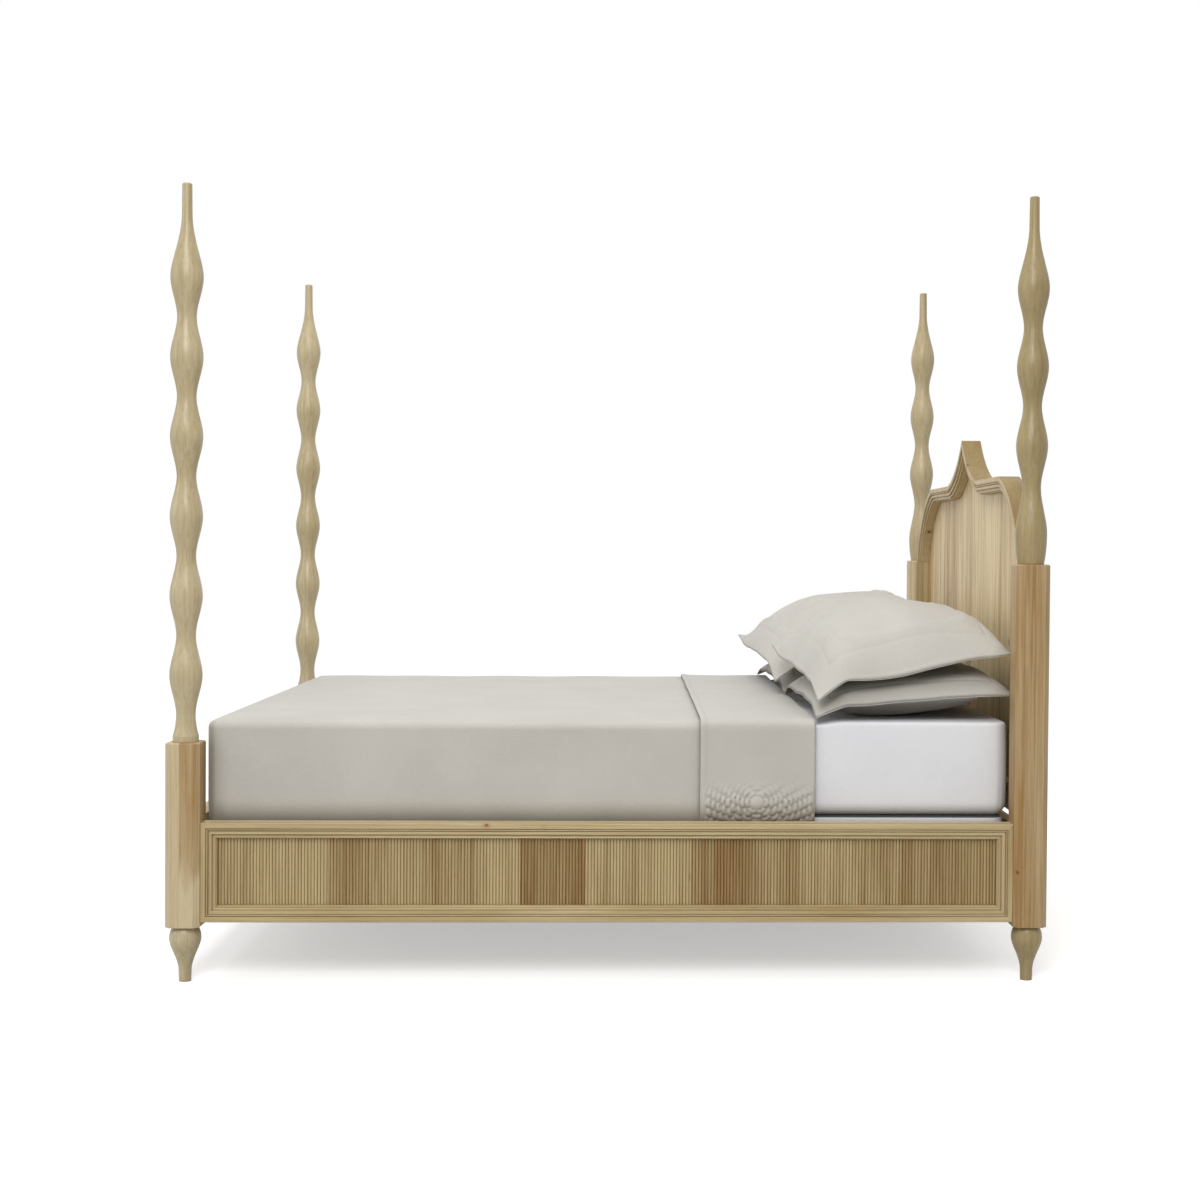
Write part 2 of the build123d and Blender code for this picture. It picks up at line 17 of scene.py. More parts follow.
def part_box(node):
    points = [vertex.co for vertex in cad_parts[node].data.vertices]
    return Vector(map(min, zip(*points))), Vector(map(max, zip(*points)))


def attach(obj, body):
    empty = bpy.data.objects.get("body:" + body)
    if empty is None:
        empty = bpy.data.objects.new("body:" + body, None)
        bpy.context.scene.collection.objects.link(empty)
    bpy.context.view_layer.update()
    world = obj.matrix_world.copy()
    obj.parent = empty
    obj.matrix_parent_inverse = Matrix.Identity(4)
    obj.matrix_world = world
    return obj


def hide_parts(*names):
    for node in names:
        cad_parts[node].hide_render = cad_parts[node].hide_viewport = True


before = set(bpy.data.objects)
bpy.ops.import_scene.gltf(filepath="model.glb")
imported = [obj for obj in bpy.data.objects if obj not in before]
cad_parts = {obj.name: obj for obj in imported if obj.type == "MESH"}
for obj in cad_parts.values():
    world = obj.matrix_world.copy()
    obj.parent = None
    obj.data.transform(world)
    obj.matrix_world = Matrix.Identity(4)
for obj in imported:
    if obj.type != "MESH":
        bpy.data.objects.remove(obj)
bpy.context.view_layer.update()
scene = bpy.context.scene
scene.view_settings.view_transform = "Standard"
MM = 0.001
print(len(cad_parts), "nodes from the CAD frame")

# %% [markdown]
# ## The camera
# The picture was taken from in front of the long side, a little above the mattress.
# A camera needs a place, three turns and a focal length, and they were fitted to the corners of the bed.
# The lens is shifted a little instead of turned, so that the posts stay upright as they do in the picture.

# %% Camera
PICTURE_WIDTH = 1200
FOCAL_LENGTH = 1681.6
PICTURE_CENTRE = (690.0, 580.0)
CAMERA_PLACE = Vector((35.1, -5065.9, 1091.3)) * MM
YAW, PITCH, ROLL = -0.0379, -0.01721, 0.008
SENSOR_WIDTH = 36.0

ahead = Vector((-math.sin(YAW), math.cos(YAW), 0.0))
level = Vector((math.cos(YAW), math.sin(YAW), 0.0))
upright = Vector((0.0, 0.0, 1.0))
view_way = math.cos(PITCH) * ahead + math.sin(PITCH) * upright
lean = math.cos(PITCH) * upright - math.sin(PITCH) * ahead
side = math.cos(ROLL) * level + math.sin(ROLL) * lean
up = math.cos(ROLL) * lean - math.sin(ROLL) * level

camera = bpy.data.objects.new("camera", bpy.data.cameras.new("camera"))
scene.collection.objects.link(camera)
turned = Matrix((side, up, -view_way)).transposed().to_4x4()
camera.matrix_world = Matrix.Translation(CAMERA_PLACE) @ turned
camera.data.sensor_width = SENSOR_WIDTH
camera.data.lens = FOCAL_LENGTH / PICTURE_WIDTH * SENSOR_WIDTH
camera.data.shift_x = 0.5 - PICTURE_CENTRE[0] / PICTURE_WIDTH
camera.data.shift_y = PICTURE_CENTRE[1] / PICTURE_WIDTH - 0.5
scene.camera = camera
print("camera lens", round(camera.data.lens, 1), "mm")

# %% [markdown]
# ## Tools for materials
# A material in Blender is a small machine made of nodes.
# One function adds a node and joins it up, so that the recipes below read like recipes.
# Colours are written as hex codes, as on a paint card, and turned into the linear light that Blender mixes.

# %% Material tools


def linear(code):
    """The linear colour of an sRGB hex code."""
    parts = [int(code[i : i + 2], 16) / 255 for i in (1, 3, 5)]
    return tuple(p / 12.92 if p <= 0.04045 else ((p + 0.055) / 1.055) ** 2.4 for p in parts) + (1.0,)


def add(tree, kind, inputs=None, **settings):
    """Add a node, set its properties, and set or link its inputs."""
    node = tree.nodes.new("ShaderNode" + kind)
    for key, value in settings.items():
        setattr(node, key, value)
    for key, value in (inputs or {}).items():
        if isinstance(value, bpy.types.NodeSocket):
            tree.links.new(value, node.inputs[key])
        else:
            node.inputs[key].default_value = value
    return node


def calc(tree, operation, a, b=0.0, c=0.0):
    """A number worked out from others."""
    return add(tree, "Math", {0: a, 1: b, 2: c}, operation=operation).outputs[0]


def blend(tree, share, a, b, mode="MIX"):
    """Two colours mixed."""
    node = add(tree, "Mix", {0: share, 6: a, 7: b}, data_type="RGBA", blend_type=mode)
    return node.outputs[2]


def ease(tree, value, low, high, new_low=0.0, new_high=1.0):
    """A number moved smoothly from one range to another."""
    inputs = {0: value, 1: low, 2: high, 3: new_low, 4: new_high}
    return add(tree, "MapRange", inputs, interpolation_type="SMOOTHSTEP").outputs[0]


def speckle(tree, place, sizes, detail=2.0, warp=0.0):
    """Noise whose blotches have these sizes in millimetres along X, Y and Z."""
    scale = [1.0 / (size * MM) for size in sizes]
    mapped = add(tree, "Mapping", {"Vector": place, "Scale": scale})
    inputs = {"Vector": mapped.outputs[0], "Scale": 1.0, "Detail": detail, "Distortion": warp}
    return add(tree, "TexNoise", inputs).outputs[0]


def new_material(name):
    """An empty material and its shader."""
    material = bpy.data.materials.new(name)
    material.use_nodes = True
    shader = material.node_tree.nodes["Principled BSDF"]
    return material, material.node_tree, shader


print("material tools ready")

# %% [markdown]
# ## Pine
# Pine is a pale softwood with darker bands of late growth along the board, and small round knots.
# Grain is noise stretched along the board, so each recipe is told which way its board lies.
# A picture of wood would be simpler, but it repeats, and noise gives every piece a grain of its own.

# %% Pine recipe
PATCH, STREAK = (70.0, 600.0), (9.0, 450.0)
RING, FIBRE = (3.4, 170.0), (0.8, 40.0)
GRAIN_DEPTH = 0.3
CUT_APART = 7.3
KNOT_SPACING = 170.0
KNOT_BROWN, KNOT_HALO = "#6E4A2A", "#A87F4C"
# Painted shade: corners and hollows are darkened towards a brown, within this many millimetres.
CORNER_SHADE_REACH, PAINTED_SHADE_BROWN = 5.0, "#6B5636"
SAWN_BROWN = "#BDB18C"
EDGE_SOFTENING = 0.9
PINE_IOR = 1.5


def along_grain(mark, grain):
    """The sizes along X, Y and Z of a mark given by its width and its length along the grain."""
    width, length = mark
    return [length if axis == grain else width for axis in "XYZ"]


def cut_of_wood(tree, board):
    """A point on the piece, the same point in its own cut of wood, and the tone of its board."""
    spot = add(tree, "TexCoord").outputs["Object"]
    own = add(tree, "ObjectInfo").outputs["Random"]
    tone, cut = (own, own) if board is None else board(tree, spot)
    apart = calc(tree, "ADD", own, cut)
    aside = calc(tree, "MULTIPLY", apart, CUT_APART)
    shift = add(tree, "CombineXYZ", {0: apart, 1: aside, 2: apart}).outputs[0]
    place = add(tree, "VectorMath", {0: spot, 1: shift}, operation="ADD").outputs[0]
    return spot, place, tone


def knotted(tree, place, colour):
    """The colour of the wood with small knots in it, each with a paler brown halo."""
    scale = 1.0 / (KNOT_SPACING * MM)
    distance = add(tree, "TexVoronoi", {"Vector": place, "Scale": scale}).outputs["Distance"]
    colour = blend(tree, ease(tree, distance, 0.04, 0.11, 0.45, 0.0), colour, linear(KNOT_HALO))
    return blend(tree, ease(tree, distance, 0.02, 0.05, 1.0, 0.0), colour, linear(KNOT_BROWN))


def pine(name, grain, light, dark, board=None, board_contrast=0.5, roughness=0.45, figure=1.0, edge=None):
    """Clear-finished pine. board gives the tone and the cut of each board, and edge finds sawn edges."""
    material, tree, shader = new_material(name)
    spot, place, board_tone = cut_of_wood(tree, board)
    patches = speckle(tree, place, along_grain(PATCH, grain), 1.0)
    streaks = speckle(tree, place, along_grain(STREAK, grain), 3.0, 0.6)
    rings = speckle(tree, place, along_grain(RING, grain), 2.0, 0.3)
    fibres = speckle(tree, place, along_grain(FIBRE, grain), 1.0)

    bands = ease(tree, streaks, 0.35, 0.72)
    tone = calc(tree, "MULTIPLY_ADD", bands, 0.45 * figure, 0.22 - 0.22 * figure)
    tone = calc(tree, "MULTIPLY_ADD", ease(tree, rings, 0.5, 0.75), 0.3 * figure, tone)
    tone = calc(tree, "MULTIPLY_ADD", ease(tree, patches, 0.3, 0.7), 0.3, tone)
    spread = calc(tree, "MULTIPLY_ADD", board_tone, board_contrast, -0.4 * board_contrast)
    tone = calc(tree, "ADD", tone, spread)
    colour = knotted(tree, place, blend(tree, tone, linear(light), linear(dark)))
    colour = blend(tree, ease(tree, fibres, 0.3, 0.75, 0.0, 0.16), colour, linear(dark), "MULTIPLY")
    # Painted shade: the colour turns brown where little sky reaches, in corners, hollows and grooves.
    open_sky = add(tree, "AmbientOcclusion", {"Distance": CORNER_SHADE_REACH * MM}, samples=6).outputs["AO"]
    colour = blend(tree, ease(tree, open_sky, 0.35, 0.9, 0.5, 0.0), colour, linear(PAINTED_SHADE_BROWN))
    if edge is not None:
        colour = blend(tree, edge(tree, spot), colour, linear(SAWN_BROWN), "MULTIPLY")

    rounded = add(tree, "Bevel", {"Radius": EDGE_SOFTENING * MM}, samples=4).outputs[0]
    height = calc(tree, "MULTIPLY_ADD", rings, 0.6, calc(tree, "MULTIPLY", fibres, 0.4))
    relief = {"Strength": 0.25, "Distance": GRAIN_DEPTH * MM, "Height": height, "Normal": rounded}
    matt = ease(tree, streaks, 0.2, 0.8, roughness - 0.06, roughness + 0.08)
    tree.links.new(colour, shader.inputs["Base Color"])
    tree.links.new(add(tree, "Bump", relief).outputs[0], shader.inputs["Normal"])
    tree.links.new(matt, shader.inputs["Roughness"])
    shader.inputs["IOR"].default_value = PINE_IOR
    return material


print("pine recipe ready")

# %% [markdown]
# ## Boards
# Furniture pine is glued up from boards, and neighbours differ in tone and in grain.
# Each function tells the recipe which board a point lies in, from where the point is on the piece.
# The boards could be modelled one by one, but the joints between them are too fine to see.

# %% Boards
HEADBOARD_BOARD = 112.9
CREST_MIDDLE = 1000.0
BLOCK_SPLIT = 1072.7
BROWN_FROM, BROWN_FULL = 340.0, 420.0
BROWN_BLOTCH, BROWN_UNEVEN = (40.0, 40.0, 200.0), 200.0
PALE_FOOT, BROWN_FOOT = 0.05, 0.95
FAR_HEAD, NEAR_HEAD = 0.2, 0.85


def from_attribute(tree, place):
    """The number stored on each board's faces, as its tone and its cut."""
    number = add(tree, "Attribute", attribute_name="board").outputs["Fac"]
    return number, number


def headboard_boards(tree, place):
    """A random tone and cut for each of the boards side by side across the headboard."""
    across = add(tree, "SeparateXYZ", {0: place}).outputs["Y"]
    index = calc(tree, "FLOOR", calc(tree, "DIVIDE", across, HEADBOARD_BOARD * MM))
    number = add(tree, "TexWhiteNoise", {"W": index}, noise_dimensions="1D").outputs["Value"]
    return number, number


def sawn_edge(tree, place):
    """1 on the outer edge of the headboard, which is sawn across the grain, and 0 on its mouldings."""
    middle = (0.0, 0.0, CREST_MIDDLE * MM)
    from_middle = add(tree, "VectorMath", {0: place, 1: middle}, operation="SUBTRACT").outputs[0]
    flat = add(tree, "VectorMath", {0: from_middle, 1: (0.0, 1.0, 1.0)}, operation="MULTIPLY").outputs[0]
    away = add(tree, "VectorMath", {0: flat}, operation="NORMALIZE").outputs[0]
    facing = add(tree, "NewGeometry").outputs["True Normal"]
    outward = add(tree, "VectorMath", {0: away, 1: facing}, operation="DOT_PRODUCT").outputs["Value"]
    return ease(tree, outward, 0.15, 0.3)


def block_boards(tree, place):
    """The two boards of a post block. At the foot the inner one is brown above its lower end."""
    parts = add(tree, "SeparateXYZ", {0: place}).outputs
    inner = calc(tree, "LESS_THAN", calc(tree, "ABSOLUTE", parts["X"]), BLOCK_SPLIT * MM)
    uneven = speckle(tree, place, BROWN_BLOTCH, 1.0)
    height = calc(tree, "MULTIPLY_ADD", uneven, BROWN_UNEVEN * MM, parts["Z"])
    brown = calc(tree, "MULTIPLY", inner, ease(tree, height, BROWN_FROM * MM, BROWN_FULL * MM))
    foot_tone = calc(tree, "MULTIPLY_ADD", brown, BROWN_FOOT - PALE_FOOT, PALE_FOOT)
    near = calc(tree, "LESS_THAN", parts["Y"], 0.0)
    head_tone = calc(tree, "MULTIPLY_ADD", near, NEAR_HEAD - FAR_HEAD, FAR_HEAD)
    at_foot = calc(tree, "LESS_THAN", parts["X"], 0.0)
    apart = calc(tree, "SUBTRACT", foot_tone, head_tone)
    return calc(tree, "MULTIPLY_ADD", at_foot, apart, head_tone), inner


print("boards ready")

# %% [markdown]
# ## Which pine goes where
# A joiner lays the grain along the length of each piece: upright in posts and stiles, lengthwise in rails.
# The post blocks are glued up from two boards, and one of the boards at the foot is clearly browner.
# The turned parts are pale, because turning cuts across the growth rings and the lathe polishes them.

# %% Wood on the CAD nodes
TURNED = dict(board_contrast=0.2, roughness=0.36, figure=0.8)
MOULDING = dict(light="#CAB88E", dark="#A08758", board_contrast=0.3)
UNFINISHED = dict(light="#D4C39C", dark="#B19665", roughness=0.6)

# Turned on a lathe and oiled: smooth, so each bulb carries a soft highlight.
turned_pine = pine("pine_turned_and_oiled", "Z", "#C7B996", "#A08D63", **TURNED)
turned_pine_dark = pine("pine_turned_and_oiled_browner", "Z", "#AB996C", "#877349", **TURNED)
# Planed and glued up from boards: flat, with a seam where two tones meet.
block = dict(board=block_boards, board_contrast=0.75, figure=0.75)
block_pine = pine("pine_block_glued_from_two_boards", "Z", "#CDBC97", "#97733D", **block)
panel = dict(board=headboard_boards, figure=1.5)
panel_pine = pine("pine_panel_of_jointed_boards", "Z", "#E1CFA3", "#A37F4A", **panel)
# Shaped with a moulding cutter: even in tone, with painted shade in the hollows.
moulding_x = pine("pine_moulding_along_x", "X", **MOULDING)
moulding_y = pine("pine_moulding_along_y", "Y", **MOULDING)
moulding_z = pine("pine_moulding_upright", "Z", **MOULDING)
# Sawn to a curve: the edge shows end grain, which is darker.
crest = dict(board_contrast=0.2, roughness=0.5, figure=0.7, edge=sawn_edge)
crest_pine = pine("pine_crest_sawn_to_a_curve", "Z", "#D0BE96", "#A98F60", **crest)
# Planed and left without a finish: dull.
hidden_pine = pine("pine_planed_unfinished", "Y", **UNFINISHED)
hidden_pine_x = pine("pine_planed_unfinished_along_x", "X", **UNFINISHED)


def steel(name):
    """Zinc-plated steel with a fine brushed grain."""
    material, tree, shader = new_material(name)
    place = add(tree, "TexCoord").outputs["Object"]
    brush = speckle(tree, place, [0.4, 0.4, 12.0], 2.0)
    shader.inputs["Metallic"].default_value = 1.0
    tree.links.new(blend(tree, brush, linear("#A9ABAE"), linear("#C6C8CB")), shader.inputs["Base Color"])
    tree.links.new(ease(tree, brush, 0.2, 0.8, 0.3, 0.45), shader.inputs["Roughness"])
    return material


zinc_steel = steel("steel_zinc_plated")


def wood_for(name):
    """The material that a CAD node is made of."""
    if "plate" in name:
        return zinc_steel
    if "spindle" in name or "turned_foot" in name:
        return turned_pine_dark if "head_near" in name else turned_pine
    if "block" in name:
        return block_pine
    if name == "headboard_panel":
        return panel_pine
    if "end_moulding" in name or "stile" in name:
        return moulding_z
    if "crest" in name:
        return crest_pine
    if name == "foot_rail_long_moulding":
        return moulding_y
    if "long_moulding" in name:
        return moulding_x
    if "ledger" in name or "beam" in name or name in ("near_rail_core", "far_rail_core"):
        return hidden_pine_x
    return hidden_pine


for name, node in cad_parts.items():
    node.data.materials.clear()
    node.data.materials.append(wood_for(name))
print("wood given to", len(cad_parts), "nodes")

# %% [markdown]
# ## Tools for meshes
# Each soft piece below is a net of points that is worked out row by row and then filled with faces.
# Points are kept in an array, so that a whole surface can be bent with one line of arithmetic.
# A few long random waves added together make the small unevenness that cloth always has.

# %% Mesh tools


def net_faces(rows, columns, first=0, around=False):
    """Four-sided faces of a net of points that are numbered row by row."""
    faces = []
    for r in range(rows - 1):
        for c in range(columns if around else columns - 1):
            d = (c + 1) % columns
            a = first + r * columns
            faces.append((a + c, a + d, a + columns + d, a + columns + c))
    return faces


def piece(name, points, faces, body, material, smooth=True):
    """A mesh object that rides on a body. Points are in millimetres."""
    mesh = bpy.data.meshes.new(name)
    mesh.from_pydata((np.asarray(points, float) * MM).tolist(), [], faces)
    mesh.materials.append(material)
    mesh.validate()
    mesh.update()
    mesh.polygons.foreach_set("use_smooth", [smooth] * len(mesh.polygons))
    made = bpy.data.objects.new(name, mesh)
    scene.collection.objects.link(made)
    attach(made, body)
    return made


def ripple(x, y, wavelength, seed, count=7):
    """A smooth random surface between about -1 and 1."""
    chance = np.random.default_rng(seed)
    total = np.zeros(np.broadcast(x, y).shape)
    for _ in range(count):
        angle, phase = chance.uniform(0, 2 * math.pi, 2)
        wave = 2 * math.pi / (wavelength * chance.uniform(0.7, 1.5))
        total += np.sin(wave * (x * math.cos(angle) + y * math.sin(angle)) + phase)
    return total / math.sqrt(2 * count)


def smoothstep(value, low, high):
    """A soft step from 0 to 1."""
    t = np.clip((value - low) / (high - low), 0, 1)
    return t * t * (3 - 2 * t)


def span(start, end, step):
    """Evenly spaced numbers about one step apart, ends included."""
    return np.linspace(start, end, max(2, int(round(abs(end - start) / step)) + 1))


print("mesh tools ready")

# %% [markdown]
# ## Reeded rail panels
# Reeds are the fine half-round ribs that are cut upright across each rail panel.
# The panel is glued up from short upright boards, and their tones differ, so each board carries a number.
# A profile of half rounds is drawn along the rail and given a top and bottom row, a front and a back.

# %% Reeded rail panels
REED_PITCH, REED_DEPTH, REED_POINTS = 8.0, 3.8, 6
REED_ROUND = 0.96
BOARD_WIDTHS, MOST_BOARDS = (100, 175), 40
PALE_POWER = 1.8
reeded_pine = pine("pine_reeded_boards", "Z", "#C1AE7F", "#886634", from_attribute, board_contrast=0.8)


def reeded_panel(node_name, along, out):
    """Round reeds in the place of a CAD panel. along and out are axis numbers, and out has a sign."""
    low, high = (np.array(corner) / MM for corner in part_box(node_name))
    axis, sign = abs(out) - 1, np.sign(out)
    face = high[axis] if sign > 0 else low[axis]
    back = low[axis] if sign > 0 else high[axis]
    reeds = int(round((high[along] - low[along]) / REED_PITCH))
    steps = np.linspace(0, reeds, reeds * REED_POINTS + 1)
    around = 2 * (steps % 1.0) - 1
    crest = face - sign * REED_DEPTH * (1 - np.sqrt(1 - REED_ROUND * around**2))
    position = low[along] + steps * (high[along] - low[along]) / reeds

    rows = []
    for depth, z in ((crest, low[2]), (crest, high[2]), (back, high[2]), (back, low[2])):
        row = np.zeros((len(position), 3))
        row[:, along] = position
        row[:, axis] = depth
        row[:, 2] = z
        rows.append(row)
    count = len(position)
    faces = net_faces(4, count)
    faces += [(c, c + 1, 3 * count + c + 1, 3 * count + c) for c in range(count - 1)]
    faces += [tuple(r * count for r in range(4)), tuple(r * count + count - 1 for r in range(4))]
    panel = piece(node_name + "_reeds", np.concatenate(rows), faces, "frame", reeded_pine, smooth=False)
    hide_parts(node_name)

    chance = np.random.default_rng(len(node_name) + axis)
    edges = np.cumsum(chance.uniform(*BOARD_WIDTHS, MOST_BOARDS)) + low[along]
    tones = chance.uniform(0, 1, MOST_BOARDS + 1) ** PALE_POWER
    store = panel.data.attributes.new("board", "FLOAT", "FACE")
    middles = np.array([polygon.center[along] for polygon in panel.data.polygons]) / MM
    store.data.foreach_set("value", tones[np.searchsorted(edges, middles)].astype(np.float32))
    print(panel.name, "with", reeds, "reeds")


reeded_panel("near_rail_panel", 0, -2)
reeded_panel("far_rail_panel", 0, 2)
reeded_panel("foot_rail_panel", 1, -1)

# %% [markdown]
# ## Cloth materials
# Bed linen is a fine weave, and from across a room it shows only as softness and a slight sheen.
# Threads run both ways in the cloth, so three waves, one along each axis, give a weave on every side.
# The real threads are about 0.3 mm apart, and the weave here is coarser, because finer would not show.
# The colour is painted a little darker in folds and close under other things, as painted shade.

# %% Cloth recipe
THREAD_SPACING, WEAVE_DEPTH, WEAVE_STRENGTH = 1.2, 0.3, 0.2
CLOUD_SIZE, SLUB_SIZE = 180.0, 6.0
PAINTED_FOLD_SHADE = 60.0
# Painted shadow: the foundation's top is painted dark grey, standing in for the line of shade under the
# mattress.
PAINTED_SHADOW_FROM, PAINTED_SHADOW_GREY = 407.0, "#4A4C50"
COTTON_IOR, SHEEN_ROUGHNESS = 1.46, 0.4


def cloth(name, light, dark, sheen, roughness, painted_shadow_from=None):
    """Woven cotton. Above the height given last, its colour is dark grey: a painted shadow under the
    mattress.
    """
    material, tree, shader = new_material(name)
    place = add(tree, "TexCoord").outputs["Object"]
    parts = add(tree, "SeparateXYZ", {0: place}).outputs
    clouds = speckle(tree, place, [CLOUD_SIZE] * 3, 3.0)
    slubs = speckle(tree, place, [SLUB_SIZE] * 3, 2.0)
    threads = 0.0
    for axis in "XYZ":
        turn = calc(tree, "MULTIPLY", parts[axis], 2 * math.pi / (THREAD_SPACING * MM))
        threads = calc(tree, "ADD", calc(tree, "SINE", turn), threads)

    cloudy = ease(tree, clouds, 0.3, 0.7, 0.0, 0.5)
    shade = calc(tree, "MULTIPLY_ADD", ease(tree, slubs, 0.3, 0.7), 0.25, cloudy)
    colour = blend(tree, shade, linear(light), linear(dark))
    # Painted shadow: above this height the colour is dark grey.
    if painted_shadow_from is not None:
        painted_shadow_band = calc(tree, "GREATER_THAN", parts["Z"], painted_shadow_from * MM)
        colour = blend(tree, painted_shadow_band, colour, linear(PAINTED_SHADOW_GREY))
    # Painted shade: the colour darkens where little of the sky is open, in folds, under pillows and near
    # the rails.
    open_sky = add(tree, "AmbientOcclusion", {"Distance": PAINTED_FOLD_SHADE * MM}, samples=6).outputs["AO"]
    colour = blend(tree, ease(tree, open_sky, 0.45, 1.0, 0.8, 0.0), colour, linear(dark), "MULTIPLY")

    height = calc(tree, "MULTIPLY_ADD", slubs, 1.5, threads)
    relief = {"Strength": WEAVE_STRENGTH, "Distance": WEAVE_DEPTH * MM, "Height": height}
    matt = ease(tree, slubs, 0.2, 0.8, roughness - 0.05, roughness + 0.05)
    tree.links.new(colour, shader.inputs["Base Color"])
    tree.links.new(add(tree, "Bump", relief).outputs[0], shader.inputs["Normal"])
    tree.links.new(matt, shader.inputs["Roughness"])
    shader.inputs["IOR"].default_value = COTTON_IOR
    shader.inputs["Sheen Weight"].default_value = sheen
    shader.inputs["Sheen Roughness"].default_value = SHEEN_ROUGHNESS
    return material


# Percale and ticking are plain weaves, which look matt. Sateen has long floating threads and a sheen.
white_sheet = cloth("cotton_white_percale", "#E8E8EA", "#DFDFE2", 0.1, 0.8)
ticking = cloth("cotton_white_ticking", "#EDEDEE", "#E0E0E2", 0.05, 0.85, painted_shadow_from=PAINTED_SHADOW_FROM)
taupe_sateen = cloth("cotton_taupe_sateen", "#C3BFB7", "#B8B4AC", 0.3, 0.6)
pillow_sateen = cloth("cotton_warm_grey_sateen", "#C2BEB6", "#B7B3AB", 0.25, 0.65)
print("four cloths ready")

# %% [markdown]
# ## Foundation and mattress
# The foundation is a padded box under the mattress, and the mattress wears a white fitted sheet.
# Both are pads with round corners and soft edges, so one function lays rings of points from bottom to top.
# The sides swell between the edges, and small pleats gather at the corners where the sheet's elastic pulls.

# %% Foundation and mattress
SIDE_STEPS, CORNER_STEPS, EDGE_STEPS = 70, 10, 7
LEVEL_STEP = 12.0
LEAST_CORNER = 8.0
PLEAT_TURN, PLEAT_REACH = 2.3, 150.0
BARE_FROM, BARE_FULL = 520.0, 600.0


def plan_ring(half_x, half_y, corner):
    """A rectangle with round corners, seen from above."""
    ring = []
    for quarter in range(4):
        turns = np.linspace(0, math.pi / 2, CORNER_STEPS + 1) + quarter * math.pi / 2
        centre_x = (half_x - corner) * (1, -1, -1, 1)[quarter]
        centre_y = (half_y - corner) * (1, 1, -1, -1)[quarter]
        arc = np.column_stack([centre_x + corner * np.cos(turns), centre_y + corner * np.sin(turns)])
        flip = (-1, 1) if quarter % 2 == 0 else (1, -1)
        share = np.linspace(0, 1, SIDE_STEPS + 1)[1:-1, None]
        ring += [arc, arc[-1] + share * (arc[-1] * flip - arc[-1])]
    return np.concatenate(ring)


def pad_levels(low, high, lower, upper):
    """How far in and how high each ring of a pad lies, from its lower edge to its upper edge."""
    bend = np.linspace(0, math.pi / 2, EDGE_STEPS)
    levels = [(lower * (1 - math.sin(a)), low + lower * (1 - math.cos(a))) for a in bend]
    levels += [(0.0, z) for z in span(low + lower, high - upper, LEVEL_STEP)[1:-1]]
    levels += [(upper * (1 - math.cos(a)), high - upper * (1 - math.sin(a))) for a in bend]
    return levels


def pad(name, node_name, body, material, corner, edges, bulge=0.0, pleat=0.0, bare_end=0.0):
    """A pad that fills a CAD solid's box. bare_end is how far it swells where no cover holds it."""
    low, high = (np.array(c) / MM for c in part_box(node_name))
    middle, half = (low + high) / 2, (high - low) / 2
    outline = plan_ring(half[0], half[1], corner)
    count = len(outline)
    from_corner = np.linalg.norm(np.abs(outline) - half[:2], axis=1)
    pleats = pleat * np.sin(np.arange(count) * PLEAT_TURN) * np.exp(-((from_corner / PLEAT_REACH) ** 2))
    cap = half[1] - corner
    rows = []
    for inset, z in [(cap, low[2])] + pad_levels(low[2], high[2], *edges) + [(cap, high[2])]:
        ring = plan_ring(half[0] - inset, half[1] - inset, max(corner - inset, LEAST_CORNER))
        height = (z - low[2]) / (high[2] - low[2])
        out = bulge * (1 - (2 * height - 1) ** 2) + pleats * (1 - height) ** 2
        plan = ring * (1 + out / np.linalg.norm(ring, axis=1))[:, None] + middle[:2]
        swell = bare_end * height**4 * smoothstep(plan[:, 0], BARE_FROM, BARE_FULL)
        rows.append(np.column_stack([plan, z + swell]))
    faces = net_faces(len(rows), count, around=True)
    faces += [tuple(range(count))[::-1], tuple((len(rows) - 1) * count + c for c in range(count))]
    made = piece(name, np.concatenate(rows), faces, body, material)
    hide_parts(node_name)
    print(name, len(made.data.vertices), "points")
    return made


FOUNDATION = dict(corner=30.0, edges=(8.0, 8.0))
MATTRESS = dict(corner=34.0, edges=(34.0, 8.0), bulge=3.0, pleat=1.5, bare_end=9.0)
foundation = pad("foundation_in_ticking", "foundation", "frame", ticking, **FOUNDATION)
mattress = pad("mattress_in_fitted_sheet", "mattress", "mattress", white_sheet, **MATTRESS)

# %% [markdown]
# ## Coverlet
# The coverlet is one sheet of sateen over the mattress, and its head end is folded back as a deep cuff.
# The net runs across the bed from hem to hem, and its columns run from the cuff's edge to the foot.
# The columns go round the fold and back along the bed, so that sheet and cuff stay one piece of cloth.
# It could be dropped on the bed as a cloth, but it is tucked and lies smooth, so a net is enough.

# %% Across the coverlet
CUFF_LIFT = 7.0
SIDE_ROUND, TOP_ROUND = 24.0, 20.0
SIDE_STEP, TOP_STEP = 3.0, 9.0
SIDE_TUCK, FOOT_TUCK, TUCK_HEIGHT = 10.0, 5.0, 60.0
HEM_DROP = 14.0
ARC_STEPS = 8

cover_low, cover_high = (np.array(corner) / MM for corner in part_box("coverlet"))
FOOT, HEM = cover_low[0], cover_low[2] - HEM_DROP
FOLD = cover_high[0] - CUFF_LIFT / 2
HALF_WIDTH = cover_high[1] - CUFF_LIFT
TOP = cover_high[2] - CUFF_LIFT

rise = span(HEM, TOP - TOP_ROUND, SIDE_STEP)
arc = np.linspace(0, math.pi / 2, ARC_STEPS + 1)[1:-1]
across = span(-HALF_WIDTH + SIDE_ROUND, HALF_WIDTH - SIDE_ROUND, TOP_STEP)
tuck = np.clip(1 - (rise - HEM) / TUCK_HEIGHT, 0, 1) ** 2


